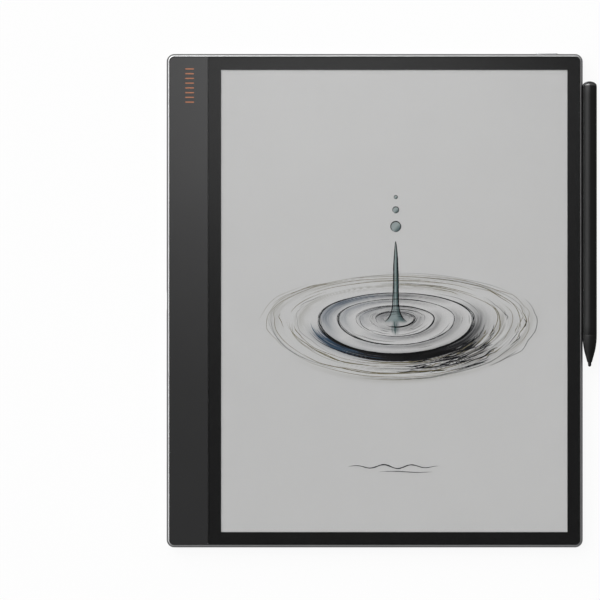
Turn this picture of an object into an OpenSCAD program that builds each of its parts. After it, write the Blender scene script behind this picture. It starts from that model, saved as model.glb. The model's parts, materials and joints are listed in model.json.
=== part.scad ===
// Handheld e-paper note tablet with a magnetically held stylus.
// Millimetres. The tablet lies on its back: +X right, +Y up the screen, +Z out of the screen.
// The origin is the centre of the tablet's flat back face.

/* [Tablet body] */
// Width of the tablet at its waist
body_w = 188.9; // [186:0.1:192]
// Height of the tablet at its waist
body_h = 224; // [221:0.5:228]
// Corner radius of the outline at the waist
corner_r = 3.5; // [3.4:0.1:4]
// How far the front and back edges lie inside the waist
rim_inset = 1.2; // [0.9:0.05:1.25]

/* [Screen] */
// Width of the visible e-paper area
screen_w = 157.1; // [150:0.1:160]
// Height of the visible e-paper area
screen_h = 209.6; // [200:0.1:211]
// Black border to the right of the screen
border_right = 7.1; // [6.5:0.1:8]
// Black border above the screen
border_top = 7.3; // [6.5:0.1:8]
// Width of the grip margin on the left, from the waist to the glass
margin_w = 18.84; // [17:0.02:19.2]

/* [Controls and ports] */
// Distance of the power button's centre from the right side
button_from_right = 16.25; // [14:0.25:30]
// Length of the power button
button_l = 9.75; // [8:0.25:11]
// How far the power button stands out of the waist
button_proud = 0.35; // [0.2:0.05:0.5]
// Holes in each speaker grille
grille_holes = 9; // [5:1:9]
// Place of the card tray's centre along the left side
tray_y = 28; // [26:0.5:30]

/* [Stylus] */
// Length of the stylus from nib to end cap
pen_l = 129.4; // [126:0.2:134]
// Barrel radius
pen_r = 3.25; // [3.25:0.05:3.5]
// How far the end cap lies below the tablet's top edge
pen_from_top = 12.5; // [8:0.5:30]

/* [Hidden] */
$fn = 64;

// Every node of the assembly.

// Layer heights, from the back face to the front face.
body_t = 5.8;
cover_t = 0.8;
plate_z = 3.3;
plate_t = 0.6;
stack_z = plate_z + plate_t;
digitizer_t = 0.35;
panel_t = 0.7;
guide_t = 0.2;
mask_t = 0.1;
glass_t = 0.55;
digitizer_z = stack_z;
panel_z = digitizer_z + digitizer_t;
guide_z = panel_z + panel_t;
seat_z = guide_z + guide_t;
glass_z = seat_z + mask_t;

// Frame section, measured inwards from the waist.
waist_z = 2.4;
rim_steps = 7;
lip_s = rim_inset + 0.1;
panel_gap = 0.06;
face_s = lip_s + panel_gap;
wall_s = 2.4;
ledge_s = 3.3;
ledge_t = 0.5;
wall_gap = 0.1;

left_x = -body_w / 2;
right_x = body_w / 2;
top_y = body_h / 2;

// Screen place.
screen_x0 = right_x - border_right - screen_w;
screen_y1 = top_y - border_top;
screen_y0 = screen_y1 - screen_h;
screen_cx = screen_x0 + screen_w / 2;
screen_cy = (screen_y0 + screen_y1) / 2;
panel_side = 2.4;
panel_w = screen_w + 2 * panel_side;
panel_h = screen_h + 2 * panel_side;

// Margin, cross bar and mid plate.
glass_x0 = left_x + margin_w;
bar_x0 = glass_x0 - 3.4;
bar_x1 = glass_x0 + 1;
plate_x0 = bar_x0;
plate_x1 = right_x - wall_s - wall_gap;
plate_y1 = top_y - wall_s - wall_gap;

// Screws that hold the mid plate up against the frame.
lug_r = 1.25;
lug_h = 1;
lug_s = 3.4;
screw_r = 0.58;
thread_r = 0.6;
screw_clear_r = 0.68;
head_r = 0.95;
head_t = 0.4;
midplate_screw_l = 1.4;
side_lug_y = [-88, -32, 44, 94];
end_lug_x = [-52, 0, 52];
bar_screw_y = [-100, -62, 62, 100];

// Main board.
board_z = 2.45;
board_t = 0.7;
board_x0 = left_x + 3.95;
board_x1 = -46;
board_y0 = -48;
board_y1 = 56;
board_screw_xy = [
    [-86.5, -43], [-86.5, 47], [-71, -44], [-50, -44], [-71, 48], [-50, 48]
];
board_screw_l = 1.3;

// Type-C receptacle.
usb_w = 8.94;
usb_h = 3.16;
usb_wall = 0.3;
usb_l = 7.35;
usb_x = left_x + 0.6;

// Card tray and its socket.
card_w = 11.2;
card_l = 15.2;
tray_z = 1.75;
tray_t = 1;
tray_w = 12.6;
tray_x1 = left_x + 19;
tray_face_w = 17;
tray_face_h = 1.2;
tray_face_t = 1.25;
tray_face_y = tray_y + 1.9;
eject_y = tray_face_y + 6.6;
eject_r = 0.4;
socket_wall = 0.15;

// Speakers, grilles and microphone.
speaker_w = 11;
speaker_l = 22;
speaker_z = 0.95;
speaker_h = 2.9;
speaker_y = 71;
gasket_t = 0.25;
grille_r = 0.55;
grille_pitch = 2;
mic_y = -15;
mic_z = 1.9;
mic_r = 0.4;

// Power button.
button_x = right_x - button_from_right;
button_h = 1.7;
button_clear = 0.12;
button_ear = 1.2;
button_rear_y = top_y - 3.1;
button_travel = 0.3;
switch_gap = button_travel + 0.05;

// Battery bay.
cell_w = 62;
cell_l = 118;
cell_z = 1;
cell_t = 2.1;
cell_y0 = -70;
cell_left_x = -41;
cell_right_x = 24;

// Stylus. t runs from the nib's point to the end cap.
pen_z = 5;
pen_x = right_x + pen_r - 0.24;
pen_tip_y = top_y - pen_from_top - pen_l;
barrel_wall = 0.7;
cone_l = 14.4;
dome_l = 2.1;
nib_r = 0.8;
nib_clear = 0.06;
shank_r = 0.5;
holder_r = 1.5;
magnet_y = [22.7, 72.7];

// ---- Shared shapes ----

// How far the outer surface lies inside the waist at a height z: a quarter ellipse above and below.
function inset(z) = let (u = abs(z - waist_z) / (z > waist_z ? body_t - waist_z : waist_z))
    rim_inset * (1 - sqrt(max(0, 1 - u * u)));

// Heights at which the rim curve is drawn, closer together near the front and back edges.
function rim_heights() = concat(
    [for (i = [rim_steps : -1 : 1]) waist_z * (1 - sin(90 * i / rim_steps))],
    [for (i = [0 : rim_steps]) waist_z + (body_t - waist_z) * sin(90 * i / rim_steps)]
);

// Outer curve of the frame section, as [distance from the corner's centre, height].
function rim_curve() = [for (z = rim_heights()) [corner_r - inset(z), z]];

// Sweeps a section round the tablet's outline. The section's x is the distance from the corner's centre.
module around_outline() {
    cx = body_w / 2 - corner_r;
    cy = body_h / 2 - corner_r;
    for (k = [0 : 3]) {
        along = k % 2 == 0 ? cx : cy;
        across = k % 2 == 0 ? cy : cx;
        rotate([0, 0, 90 * k]) translate([along, across, 0]) {
            rotate_extrude(angle = 90) children();
            rotate([90, 0, 0]) linear_extrude(height = 2 * across) children();
        }
    }
}

// The tablet's outer shape as one solid.
module body_solid() {
    around_outline() polygon(concat(rim_curve(), [[0, body_t], [0, 0]]));
    translate([-body_w / 2 + corner_r, -body_h / 2 + corner_r, 0])
        cube([body_w - 2 * corner_r, body_h - 2 * corner_r, body_t]);
}

// Box from one corner to the other.
module block(a, b) {
    translate(a) cube(b - a);
}

// Rectangle from corner a to corner b whose left and right corners have radius rl and rr.
module outline(a, b, rl, rr) {
    translate([a[0] + rl, a[1]]) square([b[0] - a[0] - rl - rr, b[1] - a[1]]);
    if (rl > 0) {
        translate([a[0], a[1] + rl]) square([rl + 0.1, b[1] - a[1] - 2 * rl]);
        for (y = [a[1] + rl, b[1] - rl]) translate([a[0] + rl, y]) circle(rl);
    }
    if (rr > 0) {
        translate([b[0] - rr - 0.1, a[1] + rr]) square([rr + 0.1, b[1] - a[1] - 2 * rr]);
        for (y = [a[1] + rr, b[1] - rr]) translate([b[0] - rr, y]) circle(rr);
    }
}

// Slot with round ends, l long and h wide, centred.
module slot_shape(l, h) {
    square([l - h, h], center = true);
    for (x = [-1, 1]) translate([x * (l - h) / 2, 0]) circle(d = h);
}

// Slot shape whose length runs along Y, extruded along +X from the child's place.
module slot_along_x(l, h, depth) {
    rotate([90, 0, 90]) linear_extrude(height = depth) slot_shape(l, h);
}

// Slot shape whose length runs along X, extruded along +Y.
module slot_along_y(l, h, depth) {
    translate([0, depth, 0]) rotate([90, 0, 0]) linear_extrude(height = depth) slot_shape(l, h);
}

// Screw with its head down at z and its shank going up.
module screw(z, l) {
    translate([0, 0, z - head_t]) difference() {
        cylinder(r = head_r, h = head_t);
        cylinder(r = 0.42, h = 0.22, $fn = 6);
    }
    translate([0, 0, z]) cylinder(r = screw_r, h = l);
}

// Places of the mid plate's screws.
module at_plate_screws() {
    for (y = side_lug_y) translate([right_x - lug_s, y]) children();
    for (x = end_lug_x, side = [-1, 1]) translate([x, side * (top_y - lug_s)]) children();
    for (y = bar_screw_y) translate([(bar_x0 + bar_x1) / 2, y]) children();
}

// Places of the speaker grille holes, along one speaker.
module at_grille() {
    for (side = [-1, 1], i = [0 : grille_holes - 1])
        translate([0, side * speaker_y + (i - (grille_holes - 1) / 2) * grille_pitch, waist_z])
            children();
}

// ---- Casing ----

module frame_section() {
    polygon(concat(rim_curve(), [
        [corner_r - lip_s, body_t],
        [corner_r - lip_s, seat_z],
        [corner_r - wall_s, seat_z],
        [corner_r - wall_s, stack_z + ledge_t],
        [corner_r - ledge_s, stack_z + ledge_t],
        [corner_r - ledge_s, stack_z],
        [corner_r - wall_s, stack_z],
        [corner_r - wall_s, cover_t],
        [corner_r - lip_s, cover_t],
        [corner_r - lip_s, 0]
    ]));
}

// Aluminium ring with the bar that divides the grip margin from the screen.
module frame() color("#b9babb") difference() {
    union() {
        around_outline() frame_section();
        block([bar_x0, -top_y + wall_s - 0.2, stack_z], [bar_x1, top_y - wall_s + 0.2, seat_z]);
        for (y = side_lug_y) translate([right_x - lug_s, y, stack_z]) cylinder(r = lug_r, h = lug_h);
        for (x = end_lug_x, side = [-1, 1])
            translate([x, side * (top_y - lug_s), stack_z]) cylinder(r = lug_r, h = lug_h);
    }
    at_plate_screws() translate([0, 0, stack_z - 0.1]) cylinder(r = thread_r, h = 0.95);
    translate([left_x - 1, 0, waist_z]) slot_along_x(usb_w + 0.3, usb_h + 0.3, 5);
    translate([left_x - 1, tray_face_y, tray_z])
        slot_along_x(tray_face_w + 0.2, tray_face_h + 0.2, 2.4);
    block([left_x + 1, tray_y - tray_w / 2 - 0.3, tray_z - 0.65],
        [left_x + 4, tray_y + tray_w / 2 + 0.3, tray_z + 0.65]);
    translate([left_x, eject_y, tray_z]) rotate([0, 90, 0]) cylinder(r = eject_r, h = 4);
    at_grille() translate([left_x - 1, 0, 0]) rotate([0, 90, 0]) cylinder(r = grille_r, h = 4);
    translate([left_x - 1, mic_y, mic_z]) rotate([0, 90, 0]) cylinder(r = mic_r, h = 4);
    translate([button_x, top_y - 3, waist_z])
        slot_along_y(button_l + 2 * button_clear, button_h + 2 * button_clear, 4);
}

// Back plate with locating ribs that drop inside the frame wall.
module rear_cover() color("#616161") {
    rib = 0.8;
    rib_z = 1.4;
    linear_extrude(height = cover_t)
        outline([left_x + face_s, -top_y + face_s], [right_x - face_s, top_y - face_s],
            corner_r - face_s, corner_r - face_s);
    block([right_x - wall_s - wall_gap - rib, -96, cover_t - 0.1],
        [right_x - wall_s - wall_gap, 96, rib_z]);
    for (side = [-1, 1]) {
        y = side * (top_y - wall_s - wall_gap - rib / 2);
        block([-70, y - rib / 2, cover_t - 0.1], [66, y + rib / 2, rib_z]);
    }
}

// Stamped plate that carries the screen stack in front and the electronics behind.
module mid_plate() color("#8f9296") difference() {
    translate([0, 0, plate_z]) linear_extrude(height = plate_t)
        outline([plate_x0, -plate_y1], [plate_x1, plate_y1], 0, 1);
    at_plate_screws() translate([0, 0, plate_z - 1]) cylinder(r = screw_clear_r, h = 3);
    for (p = board_screw_xy)
        if (p[0] > plate_x0 + 2) translate([p[0], p[1], plate_z - 1]) cylinder(r = thread_r, h = 3);
    block([bar_x1 + 0.2, -18, plate_z - 1], [bar_x1 + 1.8, 18, plate_z + 2]);
    block([bar_x1 + 0.2, 27, plate_z - 1], [bar_x1 + 1.8, 43, plate_z + 2]);
    for (x = [-28, 0, 28, 56], side = [-1, 1])
        translate([x, side * 84, plate_z - 1]) linear_extrude(height = 3) slot_shape(18, 7);
}

module midplate_screws() color("#77797c")
    at_plate_screws() screw(plate_z, midplate_screw_l);

// ---- Front ----

module glass_outline() {
    outline([glass_x0 + panel_gap / 2, -top_y + face_s], [right_x - face_s, top_y - face_s],
        0, corner_r - face_s);
}

module cover_glass() color("#20242a", 0.35)
    translate([0, 0, glass_z]) linear_extrude(height = glass_t) glass_outline();

// Black film under the glass, open over the screen.
module mask_film() color("#161616")
    translate([0, 0, seat_z]) linear_extrude(height = mask_t) difference() {
        glass_outline();
        translate([screen_x0, screen_y0]) square([screen_w, screen_h]);
    }

// Plastic trim over the grip margin.
module side_strip() color("#3c3c3c")
    translate([0, 0, seat_z]) linear_extrude(height = body_t - seat_z)
        outline([left_x + face_s, -top_y + face_s], [glass_x0 - panel_gap / 2, top_y - face_s],
            corner_r - face_s, 0);

// Plastic carrier under the trim, with bosses for the main board.
module strip_bracket() color("#2b2b2b") {
    z0 = stack_z + ledge_t;
    difference() {
        translate([0, 0, z0]) linear_extrude(height = seat_z - z0)
            outline([left_x + wall_s + wall_gap, -plate_y1], [bar_x0 - 0.1, plate_y1], 1, 0);
        for (y = [-96, -30, 0, 30, 96])
            translate([(left_x + bar_x0) / 2 + 0.5, y, z0 + 0.35]) linear_extrude(height = 1)
                slot_shape(8, 4);
    }
    for (p = board_screw_xy) if (p[0] < plate_x0)
        translate([p[0], p[1], board_z + board_t]) difference() {
            cylinder(r = 1.6, h = z0 - board_z - board_t);
            translate([0, 0, -0.1]) cylinder(r = thread_r, h = 1);
        }
}

module antennas() color("#c79a4b") {
    z1 = stack_z + ledge_t;
    for (side = [-1, 1]) {
        y = side * 97;
        block([left_x + 4, y - 9, z1 - 0.2], [bar_x0 - 1.2, y - 6, z1]);
        block([left_x + 4, y - 6, z1 - 0.2], [left_x + 6.5, y + 9, z1]);
        block([left_x + 9, y - 6, z1 - 0.2], [left_x + 11, y + 6, z1]);
    }
}

// ---- Screen stack ----

module stack_sheet(z, t, grow) {
    translate([0, 0, z]) linear_extrude(height = t)
        translate([screen_cx, screen_cy])
            square([panel_w + 2 * grow, panel_h + 2 * grow], center = true);
}

module light_guide() color("#eef4f6", 0.3) stack_sheet(guide_z, guide_t, 0);

// Flexible strip of lamps at the lower edge of the light guide.
module light_bar() color("#e8dca0") {
    y1 = screen_cy - panel_h / 2;
    for (i = [0 : 23])
        translate([screen_cx + (i - 11.5) * 6.4, y1 - 0.35, guide_z + 0.1])
            cube([3, 0.7, 0.2], center = true);
    block([screen_cx - panel_w / 2, y1 - 0.9, guide_z], [screen_cx + panel_w / 2, y1 - 0.7, seat_z]);
}

module epaper_panel() color("#bdbdbd") stack_sheet(panel_z, panel_t, 0);

module digitizer_board() color("#1f5a3c") stack_sheet(digitizer_z, digitizer_t, -0.3);

// Flat cable that turns down through the mid plate: from y0 to y1, leaving its sheet at height z.
module turned_flex(y0, y1, z, reach) {
    x = bar_x1 + 0.9;
    t = 0.1;
    block([x, y0, plate_z - t - 0.02], [x + t, y1, z + t]);
    block([x, y0, plate_z - t - 0.02], [x + reach, y1, plate_z - 0.02]);
    block([x, y0, z], [screen_cx - panel_w / 2 - 0.02, y1, z + t]);
}

module panel_flex() color("#b8743a") turned_flex(-16, 16, panel_z + 0.3, 8);

module digitizer_flex() color("#a86632") turned_flex(29, 41, digitizer_z + 0.1, 6);

// ---- Main board ----

module main_board() color("#17422e") difference() {
    block([board_x0, board_y0, board_z], [board_x1, board_y1, board_z + board_t]);
    block([board_x0 - 1, -4.8, board_z - 1], [usb_x + usb_l + 0.2, 4.8, board_z + 2]);
    for (p = board_screw_xy) translate([p[0], p[1], board_z - 1]) cylinder(r = 0.8, h = 3);
}

// Square packages soldered to the board's rear face.
module board_chips() color("#222326") {
    chips = [
        [-61, 14, 13, 13], [-61, -2, 10, 9], [-60, -26, 8, 8], [-60, -35, 6, 5],
        [-78, -26, 6, 6], [-78, -36, 4, 5], [-79, -11, 4, 3], [-52, 38, 5, 4]
    ];
    for (c = chips) translate([c[0], c[1], board_z - 0.4]) cube([c[2], c[3], 0.8], center = true);
}

// Five-sided tinned can, open towards the board.
module shield_can(x0, x1, y0, y1) color("#c9cbcc") {
    wall = 0.2;
    z0 = 1.15;
    difference() {
        block([x0, y0, z0], [x1, y1, board_z]);
        block([x0 + wall, y0 + wall, z0 + wall], [x1 - wall, y1 - wall, board_z + 1]);
    }
}

module shield_can_processor() shield_can(-70, -52, -9, 23);

module shield_can_radio() shield_can(-70, -52, -40, -19);

module board_connectors() color("#d8d2c2") {
    sockets = [
        [-49, 30, 2.2, 7], [-49, 12, 2.2, 9], [-49, -24, 2.2, 6], [-62, 45, 8, 2.2],
        [-48.8, 53.1, 2.4, 3.6]
    ];
    for (p = sockets)
        translate([p[0], p[1], board_z - 0.45]) cube([p[2], p[3], 0.9], center = true);
}

module board_screws() color("#77797c")
    for (p = board_screw_xy) translate([p[0], p[1]]) screw(board_z, board_screw_l);

// ---- Type-C port ----

module usb_shell() color("#c4c6c8") translate([usb_x, 0, waist_z]) difference() {
    slot_along_x(usb_w, usb_h, usb_l);
    translate([-1, 0, 0]) slot_along_x(usb_w - 2 * usb_wall, usb_h - 2 * usb_wall, usb_l);
}

module usb_tongue() color("#1b1b1b") {
    x1 = usb_x + usb_l - 1.02;
    block([x1 - 4.5, -3.34, waist_z - 0.35], [x1, 3.34, waist_z + 0.35]);
    translate([x1 - 0.9, 0, waist_z]) slot_along_x(usb_w - 2 * usb_wall - 0.04,
        usb_h - 2 * usb_wall - 0.04, 0.88);
}

// Twelve gold contacts on each side of the tongue.
module usb_contacts() color("#d9b45b") {
    x1 = usb_x + usb_l - 1.95;
    for (i = [0 : 11], side = [-1, 1])
        translate([x1 - 1.6, (i - 5.5) * 0.5, waist_z + side * 0.37])
            cube([3.2, 0.26, 0.04], center = true);
}

// ---- Card tray ----

module card_socket() color("#c9cbcc") difference() {
    w = tray_w + 0.9;
    block([left_x + 3, tray_y - w / 2, 1], [left_x + 21, tray_y + w / 2, board_z]);
    block([left_x + 2, tray_y - w / 2 + socket_wall, 1 + socket_wall],
        [left_x + 21 - socket_wall, tray_y + w / 2 - socket_wall, board_z + 1]);
}

module card_contacts() color("#d9b45b")
    for (i = [0 : 7])
        translate([tray_x1 - 3.2, tray_y + (i - 3.5) * 1.1, board_z - 0.07])
            cube([2.4, 0.5, 0.14], center = true);

// Removable tray whose face follows the side of the frame.
module card_tray() color("#b9babb") {
    difference() {
        block([left_x + tray_face_t - 0.2, tray_y - tray_w / 2, tray_z - tray_t / 2],
            [tray_x1, tray_y + tray_w / 2, tray_z + tray_t / 2]);
        block([tray_x1 - 1.2 - card_l, tray_y - card_w / 2, tray_z - 0.2],
            [tray_x1 - 1.2, tray_y + card_w / 2, tray_z + 1]);
        block([tray_x1 - 2 - card_l + 1.6, tray_y - card_w / 2 + 0.8, tray_z - 1],
            [tray_x1 - 2, tray_y + card_w / 2 - 0.8, tray_z + 1]);
    }
    difference() {
        intersection() {
            body_solid();
            translate([left_x - 1, tray_face_y, tray_z])
                slot_along_x(tray_face_w, tray_face_h, 1 + tray_face_t);
        }
        translate([left_x - 1, eject_y, tray_z]) rotate([0, 90, 0]) cylinder(r = eject_r, h = 4);
    }
}

// ---- Battery ----

// Pouch cell with its sealed terrace at the top end.
module battery_cell(x) color("#3a3d42") {
    block([x, cell_y0, cell_z], [x + cell_w, cell_y0 + cell_l, cell_z + cell_t]);
    block([x + 1, cell_y0 + cell_l, cell_z + 0.9], [x + cell_w - 1, cell_y0 + cell_l + 3, cell_z + 1.2]);
}

module battery_cell_left() battery_cell(cell_left_x);

module battery_cell_right() battery_cell(cell_right_x);

module battery_tape() color("#e6e1d6")
    for (x = [cell_left_x, cell_right_x], dx = [8, cell_w - 20])
        block([x + dx, cell_y0 + 10, cell_z + cell_t], [x + dx + 12, cell_y0 + cell_l - 10, plate_z]);

// Protection board across the two cells' terraces.
module battery_board() color("#17422e") {
    y0 = cell_y0 + cell_l + 3.4;
    block([cell_left_x + 4, y0, 1.6], [cell_right_x + cell_w - 4, y0 + 4, 2.2]);
    for (x = [-20, 4, 40]) translate([x, y0 + 2, 1.35]) cube([5, 3, 0.5], center = true);
    for (x = [cell_left_x + 10, cell_left_x + 50, cell_right_x + 10, cell_right_x + 50])
        block([x, y0 - 3, 2.2], [x + 4, y0 + 1, 2.35]);
}

module battery_cable() color("#b03226") {
    y0 = cell_y0 + cell_l + 4.2;
    for (i = [0 : 2]) translate([cell_left_x + 3.98, y0 + i * 0.9, 1.9]) rotate([0, -90, 0])
        cylinder(r = 0.35, h = 8.6, $fn = 24);
    block([cell_left_x - 6.58, y0 - 0.6, 1.45], [cell_left_x - 4.4, y0 + 2.4, 2.35]);
}

// ---- Sound ----

module speaker(y) color("#26272a") {
    x0 = left_x + wall_s + gasket_t;
    difference() {
        block([x0, y - speaker_l / 2, speaker_z], [x0 + speaker_w, y + speaker_l / 2, speaker_z + speaker_h]);
        block([x0 - 1, y - 9.2, waist_z - 0.9], [x0 + 0.8, y + 9.2, waist_z + 0.9]);
        translate([x0 + speaker_w / 2, y, speaker_z - 0.1]) linear_extrude(height = 0.4) slot_shape(8, 6);
    }
}

module speaker_upper() speaker(speaker_y);

module speaker_lower() speaker(-speaker_y);

// Foam frames between the speakers and the grille.
module speaker_gaskets() color("#101010")
    for (side = [-1, 1]) difference() {
        block([left_x + wall_s, side * speaker_y - speaker_l / 2, speaker_z],
            [left_x + wall_s + gasket_t, side * speaker_y + speaker_l / 2, stack_z - 0.05]);
        block([left_x, side * speaker_y - 9.2, waist_z - 0.9],
            [left_x + 5, side * speaker_y + 9.2, waist_z + 0.9]);
    }

module microphone() color("#c8b27a")
    block([left_x + 4, mic_y - 1.8, 1.35], [left_x + 7.2, mic_y + 1.8, board_z]);

// Rubber duct from the frame's hole to the microphone.
module mic_seal() color("#101010") difference() {
    block([left_x + wall_s, mic_y - 1.3, 1.2], [left_x + 3.95, mic_y + 1.3, board_z]);
    translate([left_x, mic_y, mic_z]) rotate([0, 90, 0]) cylinder(r = mic_r, h = 6);
}

// ---- Power button ----

module power_button() color("#a9abad") {
    translate([button_x, button_rear_y + 0.5, waist_z])
        slot_along_y(button_l, button_h, top_y + button_proud - button_rear_y - 0.5);
    translate([button_x, button_rear_y + 0.28, waist_z])
        cube([button_l + 2 * button_ear, 0.56, button_h - 0.1], center = true);
    translate([button_x, button_rear_y, waist_z]) rotate([90, 0, 0]) cylinder(r = 0.6, h = 0.4);
}

module button_switch() color("#2a2a2a") {
    y1 = button_rear_y - 0.4 - switch_gap;
    block([button_x - 2.2, y1 - 0.9, 1.5], [button_x + 2.2, y1 - 0.2, 3.2]);
    translate([button_x, y1 - 0.2, waist_z]) rotate([-90, 0, 0]) cylinder(r = 0.8, h = 0.2);
}

module button_bracket() color("#9b9ea1") {
    y1 = button_rear_y - 0.4 - switch_gap - 0.9;
    block([button_x - 6, y1 - 0.4, 0.9], [button_x + 6, y1, plate_z]);
    block([button_x - 6, y1 - 5, plate_z - 0.3], [button_x + 6, y1, plate_z]);
}

module button_flex() color("#b8743a") {
    z = plate_z - 0.15;
    y = button_rear_y - 4.5;
    block([-54, y - 2, z], [button_x - 6.3, y + 1, z + 0.12]);
    block([-56, board_y1 - 4, z], [-53, y + 1, z + 0.12]);
}

// Bar magnets behind the right wall that hold the stylus.
module dock_magnets() color("#8d9196")
    for (y = magnet_y)
        block([right_x - wall_s - 3.6, y - 10, 1.5], [right_x - wall_s - 0.2, y + 10, 3.2]);

// ---- Stylus ----

// Places a shape drawn along +Z on the stylus axis, t above the nib's point.
module on_pen(t) {
    translate([pen_x, pen_tip_y + t, pen_z]) rotate([-90, 0, 0]) children();
}

// Radius of the front section at t: a straight cone that eases into the barrel.
function cone_r(t) = let (u = min(1, max(0, (t - 7) / (cone_l - 7))))
    0.5 + 0.275 * min(t, 7) + (pen_r - 0.5 - 1.925) * (1 - pow(1 - u, 2));

module stylus_barrel() color("#1c1c1d") on_pen(0) difference() {
    translate([0, 0, cone_l]) cylinder(r = pen_r, h = pen_l - dome_l - cone_l);
    translate([0, 0, cone_l - 1]) cylinder(r = pen_r - barrel_wall, h = pen_l);
}

module stylus_cone() color("#1a1a1a") on_pen(0) difference() {
    union() {
        rotate_extrude() polygon(concat(
            [[0, 2]],
            [for (i = [0 : 14]) let (t = 2 + (cone_l - 2) * i / 14) [cone_r(t), t]],
            [[0, cone_l]]
        ));
        translate([0, 0, cone_l - 0.1]) cylinder(r = pen_r - barrel_wall - 0.02, h = 4.7);
    }
    cylinder(r = nib_r + nib_clear, h = 20);
    translate([0, 0, 7.6]) cylinder(r = holder_r + 0.2, h = 20);
    translate([0, 0, 12]) cylinder(r = 2.35, h = 20);
}

module stylus_nib() color("#101010") on_pen(0) rotate_extrude() polygon(concat(
    [[0, 0]],
    [for (a = [15 : 15 : 90]) [0.72 * sin(a), 0.72 * (1 - cos(a))]],
    [[nib_r, 1.6], [nib_r, 6.4], [shank_r, 6.8], [shank_r, 24], [0, 24]]
));

// Collet and ferrite core that carry the nib back to the pressure sensor.
module nib_holder() color("#4a4a4c") on_pen(0) difference() {
    translate([0, 0, 8.4]) cylinder(r = holder_r, h = 26);
    translate([0, 0, 8]) cylinder(r = shank_r + 0.03, h = 16.4);
}

module pen_coil() color("#b8602c") on_pen(12.4) difference() {
    cylinder(r = 2.3, h = 17);
    translate([0, 0, -1]) cylinder(r = holder_r + 0.1, h = 20);
}

module pressure_sensor() color("#cfd2d4") on_pen(34.8)
    cylinder(r = pen_r - barrel_wall - 0.02, h = 2.6);

module stylus_board() color("#17422e") {
    y0 = pen_tip_y + 38;
    block([pen_x + 0.1, y0, pen_z - 2.2], [pen_x + 0.7, y0 + 52, pen_z + 2.2]);
    for (dy = [6, 15, 30])
        block([pen_x + 0.7, y0 + dy, pen_z - 1], [pen_x + 1.4, y0 + dy + 4, pen_z + 1]);
}

module stylus_magnets() color("#8d9196")
    for (y = magnet_y)
        block([pen_x - 2.2, y - 8, pen_z - 1.2], [pen_x - 0.6, y + 8, pen_z + 1.2]);

module stylus_end_cap() color("#232324") on_pen(pen_l - dome_l) {
    rotate_extrude() polygon(concat(
        [[0, 0]],
        [for (a = [0 : 9 : 90]) [pen_r * cos(a), dome_l * sin(a)]]
    ));
    translate([0, 0, -6]) cylinder(r = pen_r - barrel_wall - 0.02, h = 6.1);
}

// ---- Assembly ----

frame();
rear_cover();
mid_plate();
midplate_screws();
cover_glass();
mask_film();
side_strip();
strip_bracket();
antennas();
light_guide();
light_bar();
epaper_panel();
panel_flex();
digitizer_board();
digitizer_flex();
main_board();
board_chips();
shield_can_processor();
shield_can_radio();
board_connectors();
board_screws();
usb_shell();
usb_tongue();
usb_contacts();
card_socket();
card_contacts();
card_tray();
battery_cell_left();
battery_cell_right();
battery_tape();
battery_board();
battery_cable();
speaker_upper();
speaker_lower();
speaker_gaskets();
microphone();
mic_seal();
power_button();
button_switch();
button_bracket();
button_flex();
dock_magnets();
stylus_barrel();
stylus_cone();
stylus_end_cap();
stylus_nib();
nib_holder();
pen_coil();
pressure_sensor();
stylus_board();
stylus_magnets();
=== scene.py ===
import json
import math

import bmesh
import bpy
import numpy as np
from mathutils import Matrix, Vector


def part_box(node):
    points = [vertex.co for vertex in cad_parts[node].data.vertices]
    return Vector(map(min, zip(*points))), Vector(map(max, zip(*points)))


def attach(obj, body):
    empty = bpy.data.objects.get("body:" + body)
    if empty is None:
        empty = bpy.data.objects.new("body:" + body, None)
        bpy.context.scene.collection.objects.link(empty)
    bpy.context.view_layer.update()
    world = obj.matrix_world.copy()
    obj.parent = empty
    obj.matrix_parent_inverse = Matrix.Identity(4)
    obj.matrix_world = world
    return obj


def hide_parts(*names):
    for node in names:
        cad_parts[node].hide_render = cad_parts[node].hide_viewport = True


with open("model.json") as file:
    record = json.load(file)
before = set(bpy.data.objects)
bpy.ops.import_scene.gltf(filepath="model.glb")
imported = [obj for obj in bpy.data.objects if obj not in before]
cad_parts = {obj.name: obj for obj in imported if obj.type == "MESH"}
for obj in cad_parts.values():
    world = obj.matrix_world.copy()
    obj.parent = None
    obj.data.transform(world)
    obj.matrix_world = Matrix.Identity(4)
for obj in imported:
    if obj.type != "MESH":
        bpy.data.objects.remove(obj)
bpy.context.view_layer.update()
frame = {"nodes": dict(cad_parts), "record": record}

MM = 0.001

# ---------------------------------------------------------------- dimensions

# Millimetres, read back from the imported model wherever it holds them.


def box_mm(node):
    """Lowest and highest corner of a node."""
    lo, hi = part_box(node)
    return np.array(lo) * 1000.0, np.array(hi) * 1000.0


F_LO, F_HI = box_mm("frame")
LEFT, RIGHT, BOTTOM, BODY_T = F_LO[0], F_HI[0], F_LO[1], F_HI[2]
TOP_BODY = 112.0
CORNER_R = 3.5
COVER_T = 0.8
# Frame section, measured inwards from the waist, which is its widest level.
RIM_INSET, WAIST_Z = 1.2, 2.4
LIP_S, WALL_S = RIM_INSET + 0.1, 2.4
G_LO, G_HI = box_mm("cover_glass")
S_LO, S_HI = box_mm("side_strip")
C_LO, C_HI = box_mm("rear_cover")
P_LO, P_HI = box_mm("epaper_panel")
SEAT_Z = S_LO[2]
PANEL_TOP = P_HI[2]
PANEL_SIDE = 2.4
SCREEN = (P_LO[0] + PANEL_SIDE, P_LO[1] + PANEL_SIDE, P_HI[0] - PANEL_SIDE, P_HI[1] - PANEL_SIDE)


# ---------------------------------------------------------------- materials


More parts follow.
